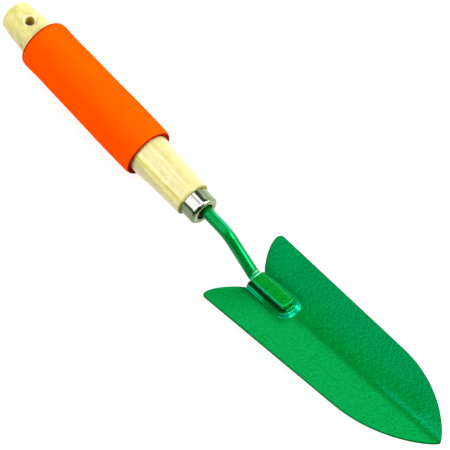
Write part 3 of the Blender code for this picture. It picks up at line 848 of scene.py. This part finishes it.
def sheet_z(x, y, inset):
    v = VEE * (math.sqrt(y * y + VALLEY_SOFT ** 2) - VALLEY_SOFT)
    side = SEAT_HALF[0] + (SEAT_HALF[1] - SEAT_HALF[0]) * smoothstep(x / 26.0)
    qx = abs(y) - (side - SEAT_CORNER)
    qy = x - (SEAT_END - SEAT_CORNER)
    px, py = max(qx, 0.0), max(qy, 0.0)
    d = math.hypot(px, py) + min(max(qx, qy), 0.0) - SEAT_CORNER
    nose = py / (px + py) if px + py > 0 else (1.0 if qy > qx else 0.0)
    nose *= smoothstep((x - (SEAT_END - 2 * SEAT_CORNER)) / SEAT_CORNER)
    run = SEAT_FLANK + (SEAT_NOSE - SEAT_FLANK) * nose
    return v + smoothstep((-d - inset) / run) * (SEAT_H - v)


P_RAD = math.radians(PITCH_DEG)
B_U = Vector((math.cos(P_RAD), 0, math.sin(P_RAD)))
B_N = Vector((-math.sin(P_RAD), 0, math.cos(P_RAD)))
B_O = Vector((NECK[0], 0, NECK[1]))


def on_blade(x, y, z):
    return (B_O.x + B_U.x * x + B_N.x * z, y, B_O.z + B_U.z * x + B_N.z * z)


RIM = 0.62          # the sheet's edge is rounded over this width


def make_blade():
    full = HALF_W + TAPER * EAR_X
    ys = [0.0]
    while ys[-1] < full:
        y = ys[-1]
        ys.append(y + (0.30 if 5.2 < y < 8.6 else 0.58 if y < full - 2.4 else 0.34))
    ys[-1] = full
    cols = [-v / full for v in reversed(ys[1:])] + [v / full for v in ys]
    seat_row = SEAT_END + 1.2
    rows_a, rows_b = 100, 210
    plan = []
    for v in cols:
        x0 = rear_edge(v * full)
        line = []
        for i in range(rows_a):
            t = i / rows_a
            # closer rows at the rear edge
            t = t * (0.72 + 0.28 * t)
            line.append(x0 + (seat_row - x0) * t)
        for j in range(rows_b + 1):
            t = j / rows_b
            line.append(seat_row + (TIP_X - 0.03 - seat_row) * (1 - (1 - t) ** 1.35))
        plan.append([[x, v * half_width(x)] for x in line])
    nc, nr = len(plan), len(plan[0])
    loop = [(0, j) for j in range(nr)] + [(i, nr - 1) for i in range(1, nc)] \
        + [(nc - 1, j) for j in range(nr - 2, -1, -1)] + [(i, 0) for i in range(nc - 2, 0, -1)]
    edge = [Vector(plan[i][j]) for i, j in loop]
    count = len(edge)
    outward = []
    for k in range(count):
        t = edge[(k + 1) % count] - edge[k - 1]
        n = Vector((-t.y, t.x))
        outward.append(n.normalized() if n.length > 1e-9 else Vector((1, 0)))
    area = sum(edge[k].x * edge[(k + 1) % count].y - edge[(k + 1) % count].x * edge[k].y
               for k in range(count))
    if area > 0:
        outward = [-n for n in outward]
    tree = kdtree.KDTree(count)
    for k, p in enumerate(edge):
        tree.insert((p.x, p.y, 0.0), k)
    tree.balance()
    # draw the rows in from the outline, to leave room for the rounded rim
    reach = {}
    moved = [[None] * nr for _ in range(nc)]
    far = np.zeros((nc, nr))
    for i in range(nc):
        for j in range(nr):
            x, y = plan[i][j]
            _, k, d = tree.find((x, y, 0.0))
            far[i, j] = d
            s = RIM * max(0.0, 1.0 - d / 3.2)
            if d < 1e-5:
                w = -outward[k]
            else:
                w = (Vector((x, y)) - edge[k]) / d
                if d < 1.0:
                    w = (w * d + (-outward[k]) * (1.0 - d)).normalized()
            moved[i][j] = (x + w.x * s, y + w.y * s)

    def dents(x, y, side):
        v = Vector((x * 0.55, y * 0.55, 4.0 * side))
        w = Vector((x * 0.052, y * 0.06, 9.0 * side))
        return 0.030 * noise.noise(v) + 0.060 * noise.noise(w)

    points, marks = [], []
    # the sheet's rounded rim carries painted shade, a darker outline
    plain, rim_shade = (0.0, 0.0, 0.0), (0.0, 0.0, 0.70)
    top = np.zeros((nc, nr), int)
    low = np.zeros((nc, nr), int)
    for i in range(nc):
        for j in range(nr):
            x, y = moved[i][j]
            fade = min(1.0, far[i, j] / 3.0)
            top[i, j] = len(points)
            points.append(on_blade(x, y, sheet_z(x, y, 0.0) + fade * dents(x, y, 1)))
            marks.append(tones(x, y))
    for i in range(nc):
        for j in range(nr):
            x, y = moved[i][j]
            fade = min(1.0, far[i, j] / 3.0)
            low[i, j] = len(points)
            points.append(on_blade(x, y, sheet_z(x, y, SHEET * 0.8) - SHEET
                                   + fade * dents(x, y, 1)))
            marks.append(plain)
    faces = []
    for i in range(nc - 1):
        for j in range(nr - 1):
            faces.append((top[i, j], top[i, j + 1], top[i + 1, j + 1], top[i + 1, j]))
            faces.append((low[i, j], low[i + 1, j], low[i + 1, j + 1], low[i, j + 1]))
    arcs = []
    steps = 5
    for s in range(1, steps + 1):
        a = math.pi / 2 * s / steps
        arcs.append((RIM * math.sin(a), SHEET / 2 - RIM + RIM * math.cos(a)))
    rim = arcs + [(o, -z) for o, z in reversed(arcs)][0:-1]
    rim = arcs + [(o, -z) for o, z in reversed(arcs)]
    rings = [[top[i, j] for i, j in loop]]
    for o, z in rim:
        ring = []
        for k, (i, j) in enumerate(loop):
            x, y = moved[i][j]
            xx, yy = x + outward[k].x * o, y + outward[k].y * o
            mid = (sheet_z(x, y, 0.0) + sheet_z(x, y, SHEET * 0.8) - SHEET) / 2
            half = (sheet_z(x, y, 0.0) - sheet_z(x, y, SHEET * 0.8) + SHEET) / 2
            ring.append(len(points))
            points.append(on_blade(xx, yy, mid + z * half / (SHEET / 2)))
            marks.append(rim_shade)
        rings.append(ring)
    rings.append([low[i, j] for i, j in loop])
    for a, b in zip(rings, rings[1:]):
        for k in range(count):
            m = (k + 1) % count
            faces.append((a[k], a[m], b[m], b[k]))
    faces = [tuple(int(v) for v in f) for f in faces]
    ob = piece("blade_sheet", points, faces, hammer, TOOL)
    # painted light and shade for the upper face: valley and shade darken, nose lightens
    for k, name in enumerate(("valley_shade", "nose", "shade")):
        mark(ob, name, [v[k] for v in marks])
    ride(ob, "blade")
    return ob


blade = make_blade()


# ------------------------------------------------------------------ shank
def shank_path():
    mid = SEAT_H + GAP + FOOT_T / 2
    foot0 = B_O + B_N * mid
    drop = math.radians(DROP_DEG)
    a, b = math.tan(drop), math.tan(P_RAD)
    heel_x = (a * BEND_X - foot0.z + b * foot0.x) / (a + b)
    heel = Vector((heel_x, 0, -a * (heel_x - BEND_X)))
    bend = Vector((BEND_X, 0, 0))
    toe = foot0 + B_U * FOOT_LEN
    pts = []

    def straight(p, q, step):
        n = max(1, int(math.ceil((q - p).length / step)))
        for i in range(n):
            pts.append(p + (q - p) * i / n)

    def fillet(p, q, r, radius, steps):
        d0, d1 = (q - p).normalized(), (r - q).normalized()
        half = d0.angle(d1) / 2
        t = radius * math.tan(half)
        start, end = q - d0 * t, q + d1 * t
        centre = q + (d1 - d0).normalized() * (radius / math.cos(half))
        ray = start - centre
        turn = 1.0 if d0.cross(d1).y > 0 else -1.0
        arc = []
        for i in range(steps + 1):
            ang = turn * 2 * half * i / steps
            c, s = math.cos(ang), math.sin(ang)
            arc.append(centre + Vector((ray.x * c + ray.z * s, 0, -ray.x * s + ray.z * c)))
        return start, end, arc

    tip = Vector((TANG_TIP_X, 0, 0))
    s0, e0, arc0 = fillet(tip, bend, heel, BEND_R, 30)
    s1, e1, arc1 = fillet(bend, heel, toe, HEEL_BEND_R, 26)
    straight(tip, s0, 1.6)
    pts.extend(arc0)
    straight(e0, s1, 0.8)
    pts.extend(arc1)
    straight(e1, toe, 0.5)
    pts.append(toe)
    out = []
    for p in pts:
        if not out or (p - out[-1]).length > 0.02:
            out.append(p)
    return out, e1, toe


PER_CORNER = 20


def section(w, h, r):
    """Rounded rectangle; with w = h = r it is the rod's circle."""
    out = []
    for corner, (sy, sz) in enumerate(((1, 1), (-1, 1), (-1, -1), (1, -1))):
        for i in range(PER_CORNER):
            a = math.pi / 2 * (corner + (i + 0.5) / PER_CORNER)
            out.append((sy * (w - r) + r * math.cos(a), sz * (h - r) + r * math.sin(a)))
    return out


def make_shank():
    pts, foot_start, toe = shank_path()
    points, rings, painted_shade, foot, thin, painted_highlight, dull = [], [], [], [], [], [], []

    w1, t1 = FOOT_W / 2, FOOT_T / 2

    def ring(p, d, sec, dark=0.0, wall=0.0, light=0.0, painted_glint=0.0):
        n = Vector((-d.z, 0, d.x))
        row = []
        for y, z in sec:
            q = p + n * z
            row.append(len(points))
            points.append((q.x, y, q.z))
            foot.append(1.0 if wall > 0 else 0.0)
            up = smoothstep((z - 0.6) / 0.9)
            right = smoothstep((y + 0.3) / 1.0) * smoothstep((3.5 - y) / 0.7)
            spot = smoothstep((y - 0.2) / 0.8) * smoothstep((2.8 - y) / 0.6)
            edge = 0.0
            # painted highlight: a teal sheen down the foot's left wall
            if wall > 0.5 and y < 0:
                edge = 0.40 + 0.50 * smoothstep((t1 - FOOT_BEVEL * 0.8 - z) / 0.3)
                edge *= smoothstep((-w1 + 0.9 - y) / 0.5) * smoothstep((z + 1.8) / 2.2)
            # on the straight neck a painted highlight runs along its right side, and its specular is
            # turned down away from that side
            neck = 1.0 - smoothstep((p.x - BEND_X + 2.0) / 6.0)
            if light + wall > 0:
                neck = 0.0
            edge = max(edge, 0.30 * neck * smoothstep((y - 0.2) / 1.0) * smoothstep(z + 1.0)
                       * smoothstep((p.x - 13.0) / 2.5))
            gleam = 0.50 * neck * smoothstep((2.0 - y) / 1.5) + 0.12 * (wall == 0)
            gleam += 0.50 * (1 - neck) * (1 - smoothstep((p.x - BEND_X - 3.0) / 8.0))
            if wall > 0:
                # the foot's right arris is rubbed dull
                gleam = smoothstep((y - w1 + 1.0) / 0.3) * smoothstep((t1 - 0.02 - z) / 0.12)
            dull.append(gleam)
            thin.append(max(light * up, edge))
            painted_highlight.append(max(0.9 * light * right, painted_glint * spot) * up)
            # painted shade: the foot's walls are darkened, only faintly on the left, and the rod near
            # the ferrule's mouth and before the heel
            most = 0.15 if y < 0 else 1.0
            mouth_shade = 0.5 * (1.0 - smoothstep((p.x - 10.8) / 1.8)) if wall + light == 0 else 0.0
            painted_shade.append(max(dark, mouth_shade, most * wall * smoothstep((t1 - FOOT_BEVEL * 0.75 - z) / 0.6)))
        rings.append(row)

    for i, p in enumerate(pts):
        prev = pts[i - 1] if i else p
        nxt = pts[i + 1] if i + 1 < len(pts) else p
        d = (nxt - prev).normalized()
        along = (p - foot_start).dot(B_U)
        if along > 0.15 and d.dot(B_U) > 0.999:
            break
        if i == 0:
            for s, k in ((0.45, 0.0), (0.72, 0.0), (0.93, 0.5)):
                ring(p + d * k, d, [(s * y, s * z) for y, z in section(ROD_R, ROD_R, ROD_R)])
            ring(p + d * 1.2, d, section(ROD_R, ROD_R, ROD_R))
            continue
        pinch = smoothstep((along + 4.4) / 3.4)
        h = ROD_R + (HEEL_H - ROD_R) * pinch
        # painted shade darkens the rod just before the heel, and a painted glint sits on its upper
        # right a little before the foot
        ring(p, d, section(ROD_R + 0.15 * pinch, h, h),
             0.30 * smoothstep((along + 0.1) / 0.3),
             painted_glint=0.75 * smoothstep((along + 3.5) / 0.9) * (1 - smoothstep((along + 1.9) / 0.5)))
    start = foot_start + B_U * 0.35
    # the foot's rear face, rolled over into its top and sides, with a painted highlight over the roll
    ring(start - B_U * 0.05, B_U, section(ROD_R + 0.12, HEEL_H + 0.02, HEEL_H), 0.3, light=0.6)
    ring(start + B_U * 0.00, B_U, section(w1 - 0.80, HEEL_H + 0.05, HEEL_H - 0.1), light=0.9)
    for k in range(1, 8):
        a = math.pi / 2 * k / 7
        o = 0.62 * (1 - math.sin(a)) + 0.18
        ring(start + B_U * 0.78 * (1 - math.cos(a)), B_U,
             section(w1 - o, t1 - min(max(0.0, o - 0.18) * 0.65, t1 - HEEL_H),
                     1.60 - 0.30 * math.sin(a)), wall=0.01,
             light=1.0 if k < 6 else 0.85)
    length = (toe - start).dot(B_U)
    body = [1.0, 1.25] + list(np.linspace(1.6, length - 2.6, 44))
    for s in body:
        ease = smoothstep((s - 1.0) / 2.4)
        # pressed by hand over the weld fixture: the flanks aren't dead straight
        sway = 0.035 * noise.noise(Vector((s * 0.16, 3.3, 0)))
        ring(start + B_U * s, B_U,
             section(w1 + min(0.0, sway) - 0.18 * (1 - smoothstep(s / 9.0)), t1,
                     1.3 + (FOOT_BEVEL - 1.3) * ease), wall=0.01 + 0.9 * ease,
             light=0.7 * (1 - smoothstep((s - 0.9) / 0.5)))
    for k in range(0, 9):
        a = math.pi / 2 * k / 8
        o = 1 - math.cos(a)
        s = length - 2.1 + 2.1 * math.sin(a)
        ring(start + B_U * s, B_U,
             section(w1 - 1.5 * o, t1 - 0.62 * max(0.0, o - 0.25) / 0.75, FOOT_BEVEL), wall=0.9)
    count = len(rings[0])
    faces = []
    for a, b in zip(rings, rings[1:]):
        for k in range(count):
            m = (k + 1) % count
            faces.append((a[k], a[m], b[m], b[k]))
    for row, at_p in ((rings[0], pts[0]), (rings[-1], toe)):
        hub = len(points)
        points.append(tuple(at_p))
        painted_shade.append(0.0)
        for values in (foot, thin, painted_highlight, dull):
            values.append(0.0)
        for k in range(count):
            faces.append((hub, row[(k + 1) % count], row[k]))
    ob = piece("painted_rod", points, faces, gloss, TOOL, 40)
    mark(ob, "painted_shade", painted_shade)
    for name, values in (("foot", foot), ("thin", thin), ("painted_highlight", painted_highlight), ("dull", dull)):
        mark(ob, name, values)
    ride(ob, "shank")
    return ob


shank = make_shank()


# ------------------------------------------------------------------- weld
def make_weld():
    x0 = FOOT_LEN + GAP + 0.15
    count, segs = 73, 22
    points, rings = [], []
    for i in range(count):
        t = i / (count - 1)
        y = WELD_W * (t - 0.5)
        end = math.sqrt(max(0.0, 1 - (2 * t - 1) ** 4)) * 0.85 + 0.15
        wave = abs(math.cos(math.pi * 4 * t)) ** 0.8
        hump = 0.86 + 0.23 * wave
        w, h = WELD_D * end * hump, WELD_H * end * hump
        row = []
        for k in range(segs + 1):
            a = math.pi / 2 * k / segs
            x, z = x0 + w * math.sin(a), h * math.cos(a)
            row.append(len(points))
            points.append(on_blade(x, y, sheet_z(x, y, 0.0) + GAP + z))
        row.append(len(points))
        points.append(on_blade(x0, y, sheet_z(x0, y, 0.0) + GAP))
        rings.append(row)
    n = len(rings[0])
    faces = []
    for a, b in zip(rings, rings[1:]):
        for k in range(n):
            m = (k + 1) % n
            faces.append((a[k], a[m], b[m], b[k]))
    faces.append(tuple(reversed(rings[0])))
    faces.append(tuple(rings[-1]))
    ob = piece("weld_bead", points, faces, gloss, TOOL, 50)
    mark(ob, "painted_shade", [0.0] * len(points))
    ride(ob, "toe_weld")
    return ob


weld = make_weld()


# ----------------------------------------------------------------- stage
def make_floor():
    me = bpy.data.meshes.new("floor")
    me.from_pydata([(-3, -3, 0), (3, -3, 0), (3, 3, 0), (-3, 3, 0)], [], [(0, 1, 2, 3)])
    ob = bpy.data.objects.new("floor", me)
    bpy.context.scene.collection.objects.link(ob)
    m = Mat("pale_floor")
    m.set(Base_Color=(0.30, 0.30, 0.30, 1), Roughness=0.9, Specular_IOR_Level=0.05)
    m.set(Emission_Color=(1, 1, 1, 1), Emission_Strength=0.78)
    me.materials.append(m.m)


make_floor()


WALL_LOW, WALL_HIGH = 1.10, 0.12
DARK_FROM, DARK_TO = -90.0, 47.0       # the dim part of the walls, by roll
STRIP, STRIP_LEVEL = (-69.0, 18.0), 3.5
SIDE_PANEL = (((-0.66, 0.62, 0.42), 10.0, 19.0), 2.2)
FRONT_PANEL = (((0.65, 0.59, 0.48), 10.0, 26.0), 6.5)
LEFT_PANEL = (((-0.66, -0.73, 0.16), 5.0, 9.0), 4.5)


def make_world():
    """A long soft light hung over the tool, panels at two ends, dim walls."""
    w = bpy.data.worlds.new("studio")
    bpy.context.scene.world = w
    w.use_nodes = True
    t = w.node_tree
    bg = t.nodes["Background"]

    def node(kind, **props):
        n = t.nodes.new(kind)
        for k, v in props.items():
            setattr(n, k, v)
        return n

    def put(socket, value):
        if isinstance(value, bpy.types.NodeSocket):
            t.links.new(value, socket)
        else:
            socket.default_value = value

    def calc(op, *values):
        n = node("ShaderNodeMath", operation=op)
        for socket, v in zip(n.inputs, values):
            put(socket, v)
        return n.outputs[0]

    def ease(value, lo, hi, a=0.0, b=1.0):
        r = node("ShaderNodeMapRange", interpolation_type='SMOOTHSTEP')
        for k, v in (("Value", value), ("From Min", lo), ("From Max", hi),
                     ("To Min", a), ("To Max", b)):
            put(r.inputs[k], v)
        return r.outputs["Result"]

    def over(under, mask, level):
        m = node("ShaderNodeMix", data_type='FLOAT')
        ins = {s.identifier: s for s in m.inputs}
        put(ins["Factor_Float"], mask)
        put(ins["A_Float"], under)
        put(ins["B_Float"], level)
        return {s.identifier: s for s in m.outputs}["Result_Float"]

    gen = node("ShaderNodeTexCoord").outputs["Generated"]
    sep = node("ShaderNodeSeparateXYZ")
    t.links.new(gen, sep.inputs[0])
    dx, dy, dz = sep.outputs
    # how far round the tool's length a direction lies, in degrees from above
    roll = calc('MULTIPLY', calc('ARCTAN2', dy, dz), 180 / math.pi)

    def round_patch(c, inner, outer):
        d = node("ShaderNodeVectorMath", operation='DOT_PRODUCT')
        t.links.new(gen, d.inputs[0])
        d.inputs[1].default_value = Vector(c).normalized()
        off = calc('ARCCOSINE', d.outputs["Value"])
        return ease(off, math.radians(outer), math.radians(inner))

    dim = calc('MULTIPLY', ease(roll, DARK_FROM - 2, DARK_FROM + 2),
               ease(roll, DARK_TO + 5, DARK_TO - 5))
    level = over(WALL_LOW, dim, WALL_HIGH)
    strip = calc('MULTIPLY', ease(roll, STRIP[0] - 4, STRIP[0] + 2),
                 ease(roll, STRIP[1] + 4, STRIP[1] - 2))
    strip = calc('MULTIPLY', strip, ease(dx, -0.66, -0.50))
    strip = calc('MULTIPLY', strip, ease(dx, 0.16, -0.08))
    level = over(level, strip, STRIP_LEVEL)
    seam = calc('MULTIPLY', ease(roll, -12.0, -5.5), ease(roll, 3.5, -2.5))
    seam = calc('MULTIPLY', seam, ease(dx, -0.05, -0.25))
    seam = calc('MULTIPLY', seam, ease(dx, -0.62, -0.5))
    level = over(level, calc('MULTIPLY', seam, 0.75), 0.35)
    level = over(level, round_patch(*SIDE_PANEL[0]), SIDE_PANEL[1])
    level = over(level, round_patch(*FRONT_PANEL[0]), FRONT_PANEL[1])
    level = over(level, round_patch(*LEFT_PANEL[0]), LEFT_PANEL[1])
    t.links.new(level, bg.inputs["Strength"])
    bg.inputs["Color"].default_value = (1, 1, 1, 1)


make_world()


def area(name, at, aim, size, power, color=(1, 1, 1)):
    li = bpy.data.lights.new(name, 'AREA')
    li.shape = 'RECTANGLE'
    li.size, li.size_y = size
    li.energy = power
    li.color = color
    ob = bpy.data.objects.new(name, li)
    bpy.context.scene.collection.objects.link(ob)
    d = Vector(at) - Vector(aim)
    ob.rotation_euler = d.to_track_quat('Z', 'Y').to_euler()
    ob.location = at
    return ob


area("key", (0.62, 0.82, 1.16), (0, 0, 0), (0.5, 0.4), 22.0)
bpy.context.scene.view_settings.view_transform = 'Standard'
